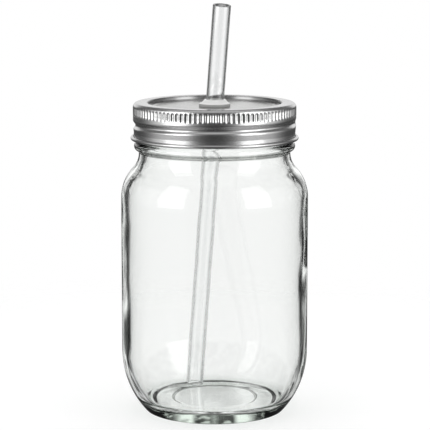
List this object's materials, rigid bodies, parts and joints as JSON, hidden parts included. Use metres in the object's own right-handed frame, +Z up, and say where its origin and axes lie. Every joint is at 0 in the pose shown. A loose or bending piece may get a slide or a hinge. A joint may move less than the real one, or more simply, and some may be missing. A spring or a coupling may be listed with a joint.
{
  "type": "mason jar",
  "caption": "Clear glass mason jar with a knurled screw band, a flat metal lid disc, a soft grommet in the disc and a leaning drinking straw.",
  "frame": {"origin": "centre of the foot ring, on the surface the jar stands on", "axes": "+Z up along the jar's axis; -Y towards the front, the side the straw's top leans to; +X to the right seen from the front"},
  "size_m": [0.084, 0.084, 0.184],
  "materials": {
    "jar_glass": "clear, polished by moulding",
    "band_metal": "bright tinplate, semi-gloss",
    "disc_metal": "satin tinplate",
    "seal_compound": "matte",
    "grommet_silicone": "translucent satin silicone",
    "straw_plastic": "clear, glossy"
  },
  "bodies": {
    "jar": {"glass_jar": "jar_glass"},
    "lid": {"lid_disc": "disc_metal", "sealing_ring": "seal_compound"},
    "band": {"screw_band": "band_metal"},
    "grommet": {"straw_grommet": "grommet_silicone"},
    "straw": {"drinking_straw": "straw_plastic"}
  },
  "joints": [
    {"name": "lid_lift", "type": "slide", "parent": "jar", "child": "lid", "axis": [0, 0, 1], "range_m": [0, 0.0064]},
    {"name": "band_turn", "type": "hinge", "parent": "lid", "child": "band", "pos_m": [0, 0, 0.1315], "axis": [0, 0, 1], "range_deg": [0, 450]},
    {"name": "grommet_swivel", "type": "hinge", "parent": "lid", "child": "grommet", "pos_m": [0, 0, 0.13795], "axis": [0, 0, 1], "continuous": true},
    {"name": "straw_slide", "type": "slide", "parent": "grommet", "child": "straw", "axis": [0.0709, -0.1302, 0.989], "range_m": [0, 0.125]}
  ],
  "couplings": [
    {"joint": "lid_lift", "follows": "band_turn", "m_per_rad": 0.00080851}
  ]
}
